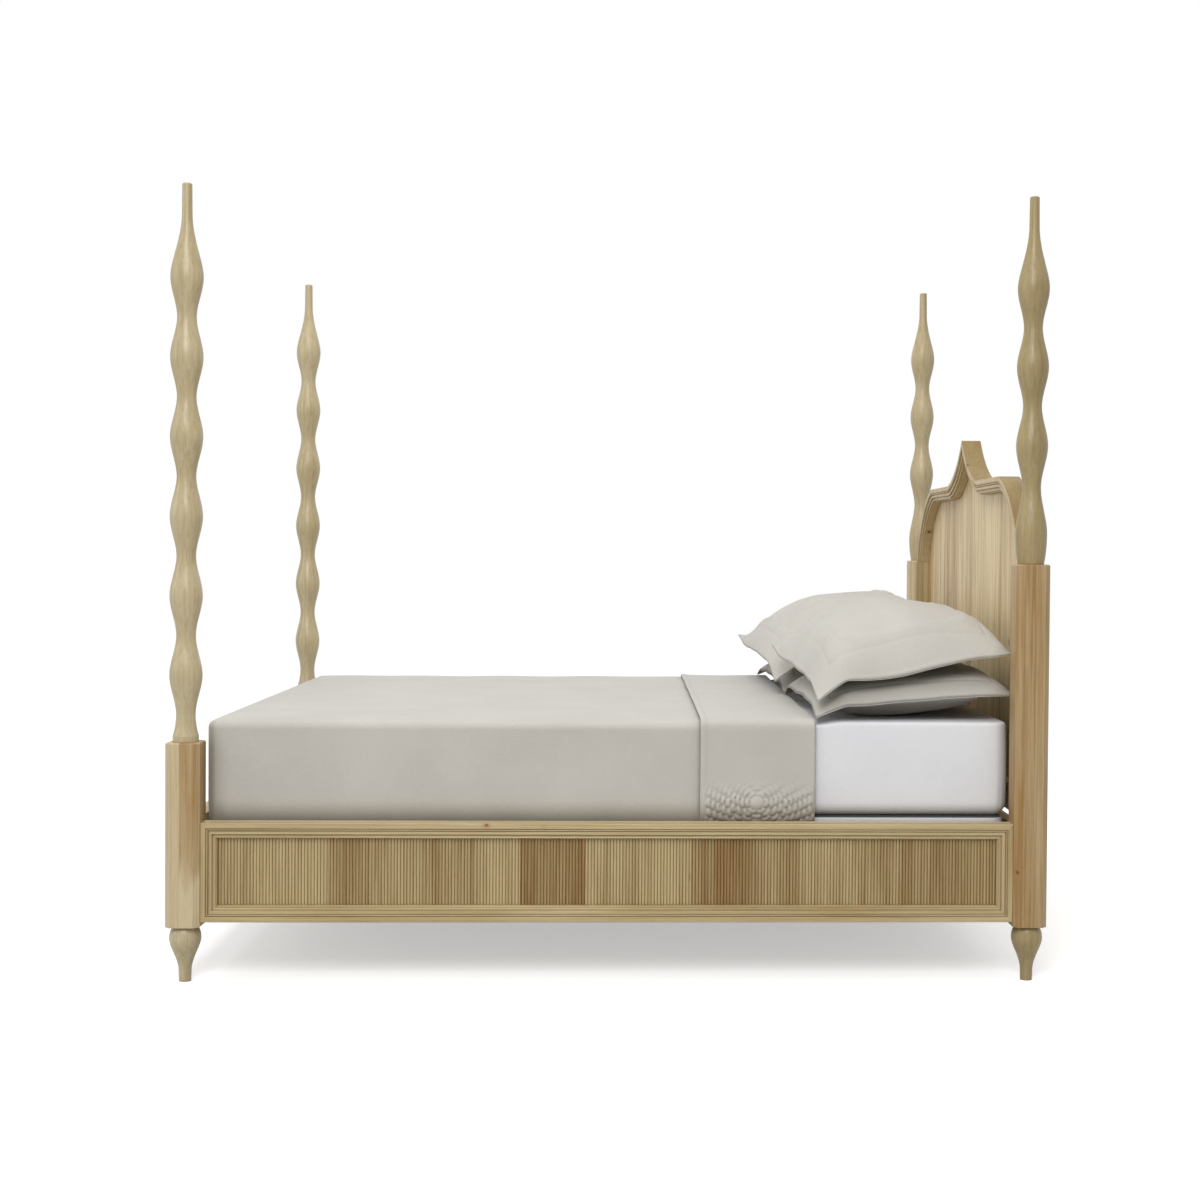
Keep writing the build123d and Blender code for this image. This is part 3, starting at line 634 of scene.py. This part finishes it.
def cross_section(lift, bend=0.0):
    """The sheet from hem to hem. bend is the angle through which the foot end has turned down."""
    flat = math.cos(bend)
    arc_middle = HALF_WIDTH + lift - SIDE_ROUND
    arc_level = TOP + lift - TOP_ROUND
    side_y = arc_middle + (SIDE_ROUND - (SIDE_TUCK + lift / 2) * tuck) * flat
    arc_y = arc_middle + SIDE_ROUND * flat * np.cos(arc)
    arc_z = arc_level + TOP_ROUND * flat * np.sin(arc)
    near = np.column_stack([-np.concatenate([side_y, arc_y]), np.concatenate([rise, arc_z])])
    middle = np.column_stack([across, np.full(len(across), arc_level + TOP_ROUND * flat)])
    return np.concatenate([near, middle, near[::-1] * (-1, 1)])


print("coverlet drawn with", len(cross_section(0.0)), "points across")

# %% Along the coverlet
CUFF_START = 228.0
CUFF_STEP, LONG_STEP = 3.0, 26.0

corner_round = SIDE_ROUND + (TOP_ROUND - SIDE_ROUND) * np.sin(arc) ** 2
near_round = np.concatenate([np.full(len(rise), SIDE_ROUND), corner_round])
round_x = np.concatenate([near_round, np.full(len(across), TOP_ROUND), near_round[::-1]])
no_tuck = np.zeros(len(round_x) - 2 * len(tuck))
tuck_x = FOOT_TUCK * np.concatenate([tuck, no_tuck, tuck[::-1]])


def column(x, section):
    """One column of the net: a section of the sheet, set at x."""
    return np.column_stack([np.broadcast_to(x, len(section)), section])


cuff_x = span(CUFF_START, FOLD, CUFF_STEP)
columns = [column(x, cross_section(CUFF_LIFT)) for x in cuff_x]
for angle in np.linspace(0, math.pi, ARC_STEPS + 1)[1:]:
    lift = CUFF_LIFT / 2 * (1 + math.cos(angle))
    columns.append(column(FOLD + CUFF_LIFT / 2 * math.sin(angle), cross_section(lift)))
columns += [column(x, cross_section(0.0)) for x in span(FOLD, FOOT + SIDE_ROUND, LONG_STEP)[1:]]
for angle in np.linspace(0, math.pi / 2, ARC_STEPS + 1)[1:]:
    turned_x = FOOT + round_x + (tuck_x - round_x) * math.sin(angle)
    columns.append(column(turned_x, cross_section(0.0, angle)))
sheet = np.array(columns)
lengths = np.linalg.norm(np.diff(sheet[0][:, 1:], axis=0), axis=1)
girth = np.concatenate([[0], np.cumsum(lengths)])
print("coverlet laid in", len(sheet), "columns")

# %% [markdown]
# ## The cuff's quilting
# The cuff's lower part has raised petals in rings round a boss, a traditional fan pattern of quilters.
# Each petal is a half round that covers part of the ring outside it, as tiles do on a roof.
# The net is fine enough on the cuff to carry them, so the points themselves are moved outward.

# %% Quilting
PETAL_WIDTH, BOSS_RADIUS, PETAL_RELIEF = 25.0, 20.0, 5.5
LEAST_PETALS = 6
BOSS_HEIGHT = 58.0
PLAIN_ABOVE, QUILTED_BELOW = 125.0, 45.0
HEM_WIDTH, HEM_EDGE, HEM_LIFT = 13.0, 3.0, 1.8
UNEVEN, WAVE_LENGTH, WAVE_SEED = 1.6, 330.0, 5
CALM_UNTIL, WAVY_FROM = 20.0, 160.0


def fans(u, v):
    """Overlapping petals in rings round a boss, 1 at the middle of each petal and 0 at its edge."""
    radius, angle = np.hypot(u, v), np.arctan2(u, v)
    height = np.sqrt(np.clip(1 - (radius / BOSS_RADIUS) ** 2, 0, 1))
    for back in (2, 1, 0):
        ring = np.floor((radius - BOSS_RADIUS) / (PETAL_WIDTH / 2)) - back
        base = BOSS_RADIUS + ring * PETAL_WIDTH / 2
        petals = np.maximum(np.round(2 * math.pi * base / PETAL_WIDTH), LEAST_PETALS)
        turn = angle / (2 * math.pi) * petals + 0.5 * (ring % 2)
        aside = (turn - np.floor(turn) - 0.5) * PETAL_WIDTH
        reach = np.hypot(aside, radius - base) / (PETAL_WIDTH / 2)
        height = np.where((ring >= 0) & (reach < 1), np.sqrt(np.clip(1 - reach**2, 0, 1)), height)
    return height


from_hem = np.minimum(girth, girth[-1] - girth)
outward = np.gradient(sheet[0][:, 1:], axis=0)
outward = np.column_stack([-outward[:, 1], outward[:, 0]])
outward /= np.linalg.norm(outward, axis=1)[:, None]
quilted = smoothstep(from_hem, PLAIN_ABOVE, QUILTED_BELOW)
cuff_middle, hem_end = (CUFF_START + FOLD) / 2, CUFF_START + HEM_WIDTH
for strip in sheet[: len(cuff_x)]:
    hem = smoothstep(strip[:, 0], hem_end + HEM_EDGE, hem_end)
    petals = fans(strip[:, 0] - cuff_middle, from_hem - BOSS_HEIGHT)
    relief = PETAL_RELIEF * petals * quilted * (1 - hem) + HEM_LIFT * hem
    strip[:, 1:] += relief[:, None] * outward
for strip in sheet:
    wavy = smoothstep(strip[:, 0], FOOT + CALM_UNTIL, FOOT + WAVY_FROM)
    wave = UNEVEN * wavy * (1 + ripple(strip[:, 0], girth, WAVE_LENGTH, WAVE_SEED))
    strip[:, 1:] += wave[:, None] * outward
print("petals raised by up to", PETAL_RELIEF, "mm")

# %% [markdown]
# ## One piece of cloth
# The foot end hangs as a small net of its own, and a weld joins it to the rest.
# The thickness comes last, from a modifier, because a thin net is easier to shape than a thick one.

# %% Coverlet
COVER_THICKNESS = 2.4
WELD_REACH = 0.05

foot_y, foot_z = np.meshgrid(across, rise)
foot_x = FOOT + np.broadcast_to(FOOT_TUCK * tuck[:, None], foot_y.shape)
foot_face = np.stack([foot_x, foot_y, foot_z], axis=-1).reshape(-1, 3)
rows_long, rows_wide = sheet.shape[:2]
points = np.concatenate([sheet.reshape(-1, 3), foot_face])
faces = net_faces(rows_long, rows_wide) + net_faces(len(rise), len(across), rows_long * rows_wide)
coverlet = piece("coverlet_with_cuff", points, faces, "mattress", taupe_sateen)
weld = coverlet.modifiers.new("join the foot", "WELD")
weld.merge_threshold = WELD_REACH * MM
thick = coverlet.modifiers.new("thickness", "SOLIDIFY")
thick.thickness = COVER_THICKNESS * MM
thick.offset = 0.0
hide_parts("coverlet")

# %% [markdown]
# ## Pillows
# Four pillows lie in two stacks, in cases with a flat flange sewn round all four sides.
# Each starts as a net for the top and one for the underside, which meet at the flange's outer edge.
# The filling makes the top broad and full. The soft flange carries its slope on and droops at the corners.
# A pad can be sculpted by hand, but air pressure in a cloth simulation gives the seam its creases.

# %% Filling a pillowcase
PRESSURE = 4.0
CLOTH_FRAMES = 16
CLOTH_GROWTH = 0.015
MOST_SWELL = 5.5
HOLD_FADE = 45.0


def puff(points, faces, from_seam):
    """Points of a closed case after air has filled it. The flange and its seam are held."""
    mesh = bpy.data.meshes.new("case")
    mesh.from_pydata((points * MM).tolist(), [], faces)
    case = bpy.data.objects.new("case", mesh)
    scene.collection.objects.link(case)
    flange = case.vertex_groups.new(name="flange")
    grip = np.round(np.clip(1 - from_seam / HOLD_FADE, 0, 1), 1)
    for level in np.unique(grip[grip > 0]):
        flange.add(np.flatnonzero(grip == level).tolist(), level, "REPLACE")
    cotton = case.modifiers.new("cloth", "CLOTH")
    cotton.settings.quality = 4
    cotton.settings.mass = 0.25
    cotton.settings.tension_stiffness = 12.0
    cotton.settings.compression_stiffness = 12.0
    cotton.settings.shear_stiffness = 4.0
    cotton.settings.bending_stiffness = 0.6
    cotton.settings.shrink_min = -CLOTH_GROWTH
    cotton.settings.use_pressure = True
    cotton.settings.uniform_pressure_force = PRESSURE
    cotton.settings.vertex_group_mass = "flange"
    cotton.settings.effector_weights.gravity = 0.0
    cotton.collision_settings.use_collision = False
    cotton.point_cache.frame_start = 1
    cotton.point_cache.frame_end = CLOTH_FRAMES
    for number in range(1, CLOTH_FRAMES + 1):
        scene.frame_set(number)
    settled = case.evaluated_get(bpy.context.evaluated_depsgraph_get()).to_mesh()
    filled = np.zeros(len(points) * 3)
    settled.vertices.foreach_get("co", filled)
    bpy.data.objects.remove(case)
    bpy.data.meshes.remove(mesh)
    scene.frame_set(1)
    move = filled.reshape(-1, 3) / MM - points
    reach = np.linalg.norm(move, axis=1)[:, None]
    return points + move * np.minimum(1.0, MOST_SWELL / np.maximum(reach, 1e-6))


print("cloth runs", CLOTH_FRAMES, "frames a pillow")

# %% [markdown]
# ## The shape of a pillow
# A pillow is fullest in its middle and falls away to the seam, more gently to one side than to another.
# Its underside follows the top near the seam and bulges down further in.
# Small waves and a groove along the stitches keep it from looking moulded.

# %% Pillow shape
SEAM = (214.0, 322.0)
FLANGE, FLANGE_STEP = 48.0, 6.3
CASE_THICKNESS = 3.0
PILLOW_STEP = 9.0
SEAM_STEP, STITCH_DEPTH = 3.0, 2.4
DROOP_REACH = 85.0
FOOT_END, NEAR_SIDE, FAR_SIDE, SIDE_SLOPE = 5.0, 6.5, 4.2, 0.1
SAG_PLACE, SAG_WIDTH, SAG_FROM, SAG_FULL = 60.0, 120.0, 120.0, 350.0
FLANGE_WAVE, FLANGE_WAVELENGTH = 2.5, 190.0
CREASE, CREASE_WAVELENGTH = 2.0, 150.0
BELLY_SLOPE, BELLY_END, BELLY_REACH = 0.2, 4.0, 70.0
PULL_IN = (0.03, 0.02)


def pillow_line(seam):
    """Positions across a pillow, finer at the seam and in the flange."""
    inside = span(0.0, seam - 2 * SEAM_STEP, PILLOW_STEP)
    at_seam = seam + SEAM_STEP * np.array([-1.0, 0.0, 1.0])
    flange = span(seam + 2 * SEAM_STEP, seam + FLANGE, FLANGE_STEP)
    half = np.concatenate([inside, at_seam, flange])
    return np.concatenate([-half[:0:-1], half])


def fullness(share, ease_off, power):
    """How full the pillow is from its middle, 0, to its outer edge, 1."""
    share = np.abs(share)
    return (1 - ease_off * share**1.4) * np.clip(1 - share**power, 0, None)


def pillow_net(crown, belly, roll, droops, sag, head_end, slopes, seed):
    """Points of the top and the underside of a pillow that lies flat, and how far each is from the seam."""
    x, y = np.meshgrid(pillow_line(SEAM[0]), pillow_line(SEAM[1]), indexing="ij")
    half_x, half_y = SEAM[0] + FLANGE, SEAM[1] + FLANGE
    u, v = x / half_x, y / half_y
    from_seam = np.minimum(SEAM[0] - np.abs(x), SEAM[1] - np.abs(y))
    lengthwise = fullness(u, np.where(u < 0, *slopes), np.where(u < 0, FOOT_END, head_end))
    full = lengthwise * fullness(v, SIDE_SLOPE, np.where(v < 0, NEAR_SIDE, FAR_SIDE))

    corner = np.clip(1 - (half_x - np.abs(x)) / DROOP_REACH, 0, 1)
    corner *= np.clip(1 - (half_y - np.abs(y)) / DROOP_REACH, 0, 1)
    droop = np.where(x < 0, np.where(y < 0, droops[0], droops[1]), droops[2]) * corner
    hang = sag * np.exp(-(((x + SAG_PLACE) / SAG_WIDTH) ** 2)) * smoothstep(-y, SAG_FROM, SAG_FULL)
    wave = FLANGE_WAVE * ripple(x, y, FLANGE_WAVELENGTH, seed) * (1 - 0.7 * full)
    carrier = wave + roll * y - droop - hang

    stitch = STITCH_DEPTH * np.exp(-((from_seam / SEAM_STEP) ** 2))
    top = carrier + crown * full + CREASE * ripple(x, y, CREASE_WAVELENGTH, seed + 2) - stitch
    hollow = belly * fullness(u, BELLY_SLOPE, BELLY_END) * fullness(v, SIDE_SLOPE, BELLY_END)
    depth = 1 - (1 - np.clip(from_seam / BELLY_REACH, 0, 1)) ** 3
    bottom = (top - CASE_THICKNESS) * (1 - depth) + (carrier - hollow) * depth
    plan_x = x * (1 - PULL_IN[0] * np.cos(0.5 * math.pi * v))
    plan_y = y * (1 - PULL_IN[1] * np.cos(0.5 * math.pi * u))
    nets = [np.stack([plan_x, plan_y, z], axis=-1).reshape(-1, 3) for z in (top, bottom)]
    return np.concatenate(nets), from_seam


def case_faces(rows, wide):
    """Faces of the top, of the underside, and of the strip that joins them round the flange."""
    count = rows * wide
    faces = net_faces(rows, wide) + [face[::-1] for face in net_faces(rows, wide, count)]
    rim = [(r, 0) for r in range(rows)] + [(rows - 1, c) for c in range(1, wide)]
    rim += [(r, wide - 1) for r in range(rows - 2, -1, -1)] + [(0, c) for c in range(wide - 2, 0, -1)]
    rim = [r * wide + c for r, c in rim]
    for a, b in zip(rim, rim[1:] + rim[:1]):
        faces.append((b, a, a + count, b + count))
    return faces


print("a pillow is", len(pillow_line(SEAM[0])), "by", len(pillow_line(SEAM[1])), "points")

# %% [markdown]
# ## Laying the pillows
# A pillow is tilted, turned and set down, and then pressed flat where it meets what it lies on.
# The lower pillows lie on the sheet and the cuff, and the upper ones on the lower ones.
# A ray cast straight down at each point of the underside finds what is there.

# %% Pillows
SLEEP_SIDE = 381.0
SHEET_TOP, CUFF_HIGHER, CUFF_EDGE, CUFF_FULL = 655.4, 10.0, 548.0, 528.0
PILLOW_GAP = 1.5
RAY_FROM = 3000.0


def bed_surface(x):
    """The height of what lies under the pillows: the cuff, and behind it the sheet."""
    return SHEET_TOP + CUFF_HIGHER * smoothstep(x, CUFF_EDGE, CUFF_FULL)


def press(upper, under, below):
    """Press the underside onto what lies below it, and keep the top above the underside."""
    floor = bed_surface(under[:, 0])
    if below is not None:
        tree = BVHTree.FromObject(below, bpy.context.evaluated_depsgraph_get())
        for index, (x, y, _) in enumerate(under):
            hit = tree.ray_cast(Vector((x, y, RAY_FROM)) * MM, Vector((0, 0, -1)))[0]
            if hit is not None:
                floor[index] = max(floor[index], hit.z / MM + PILLOW_GAP)
    under[:, 2] = np.maximum(under[:, 2], floor)
    upper[:, 2] = np.maximum(upper[:, 2], under[:, 2] + CASE_THICKNESS)


def pillow(name, place, tilt, turn, below=None, **shape):
    """One pillow in its case, filled, set down and pressed onto what lies below it."""
    points, from_seam = pillow_net(**shape)
    faces = case_faces(*from_seam.shape)
    points = puff(points, faces, np.tile(from_seam.ravel(), 2))
    set_down = Matrix.Translation(place) @ Matrix.Rotation(math.radians(turn), 4, "Z")
    set_down = np.array(set_down @ Matrix.Rotation(math.radians(-tilt), 4, "Y"))
    points = points @ set_down[:3, :3].T + set_down[:3, 3]
    press(points[: from_seam.size], points[from_seam.size :], below)

    made = piece(name + "_in_case", points, faces, name, pillow_sateen)
    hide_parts(name)
    print(made.name, len(points), "points")
    return made


# The droops are how far the near foot corner, the far foot corner and the head corners hang down.
LOWER = dict(tilt=4.0, roll=0.0, crown=82.0, belly=66.0, sag=4.0)
LOWER |= dict(droops=(30.0, 30.0, 4.0), head_end=9.0, slopes=(0.3, 0.26))
UPPER = dict(tilt=9.0, roll=0.05, belly=14.0, sag=14.0)
UPPER |= dict(droops=(44.0, -26.0, 0.0), head_end=15.0)
NEAR_UPPER = dict(turn=3.0, crown=158.0, slopes=(0.3, 0.5), seed=37)
FAR_UPPER = dict(turn=3.5, crown=152.0, slopes=(0.36, 0.18), seed=41)

near_lower = pillow("pillow_near_lower", (778.0, -SLEEP_SIDE, 711.3), turn=1.0, seed=11, **LOWER)
far_lower = pillow("pillow_far_lower", (760.0, SLEEP_SIDE, 711.3), turn=1.5, seed=23, **LOWER)
near_place, far_place = (758.0, -SLEEP_SIDE, 812.0), (711.0, SLEEP_SIDE, 804.0)
pillow("pillow_near_upper", near_place, below=near_lower, **UPPER, **NEAR_UPPER)
pillow("pillow_far_upper", far_place, below=far_lower, **UPPER, **FAR_UPPER)

# %% [markdown]
# ## The studio
# The bed was photographed on white, so the floor is white and the world behind it is white for the camera.
# Large lamps give soft shadows, because the bigger a lamp is, the softer its shadow.
# Together they light the bed at a plain level, so that a colour shows about as it is written.

# %% Studio
FLOOR_SIZE = 30.0
FLOOR_SHADE, FLOOR_WHITE, FLOOR_GLOW = "#B0B0B0", "#F9F9F9", 0.44
WORLD_LIGHT = 0.6
WHITE = (1.0, 1.0, 1.0, 1.0)


def studio_rays(tree):
    """1 for a ray that sees the studio as white: from the camera, a reflection or through glass."""
    path = add(tree, "LightPath").outputs
    mirrored = calc(tree, "MAXIMUM", path["Is Glossy Ray"], path["Is Transmission Ray"])
    return calc(tree, "MAXIMUM", path["Is Camera Ray"], mirrored)


floor_mesh = bpy.data.meshes.new("floor")
h = FLOOR_SIZE / 2
floor_mesh.from_pydata([(-h, -h, 0), (h, -h, 0), (h, h, 0), (-h, h, 0)], [], [(0, 1, 2, 3)])
floor = bpy.data.objects.new("floor", floor_mesh)
scene.collection.objects.link(floor)
floor_paint, tree, shader = new_material("floor_white_studio_paint")
shader.inputs["Roughness"].default_value = 0.9
shader.inputs["Specular IOR Level"].default_value = 0.1
seen = studio_rays(tree)
shader.inputs["Emission Color"].default_value = WHITE
tree.links.new(calc(tree, "MULTIPLY", seen, FLOOR_GLOW), shader.inputs["Emission Strength"])
tree.links.new(blend(tree, seen, linear(FLOOR_SHADE), linear(FLOOR_WHITE)), shader.inputs["Base Color"])
floor_mesh.materials.append(floor_paint)

world = bpy.data.worlds.new("white studio")
scene.world = world
world.use_nodes = True
tree = world.node_tree
background = tree.nodes["Background"]
background.inputs["Color"].default_value = WHITE
strength = ease(tree, studio_rays(tree), 0.0, 1.0, WORLD_LIGHT, 1.0)
tree.links.new(strength, background.inputs["Strength"])


def softbox(name, place, aim, width, power):
    """A square lamp that faces a point."""
    lamp = bpy.data.lights.new(name, "AREA")
    lamp.shape = "SQUARE"
    lamp.size = width
    lamp.energy = power
    made = bpy.data.objects.new(name, lamp)
    scene.collection.objects.link(made)
    made.location = place
    made.rotation_mode = "QUATERNION"
    made.rotation_quaternion = (Vector(aim) - Vector(place)).to_track_quat("-Z", "Y")


softbox("key from the front", (-0.6, -5.2, 4.2), (0.0, 0.0, 0.7), 2.6, 154.0)
softbox("overhead", (-0.4, 0.2, 4.6), (0.0, 0.0, 0.0), 3.4, 64.0)
softbox("fill from the foot end", (-6.0, -2.0, 2.6), (0.6, 0.0, 0.9), 2.4, 42.0)
print("three lamps and a white floor")
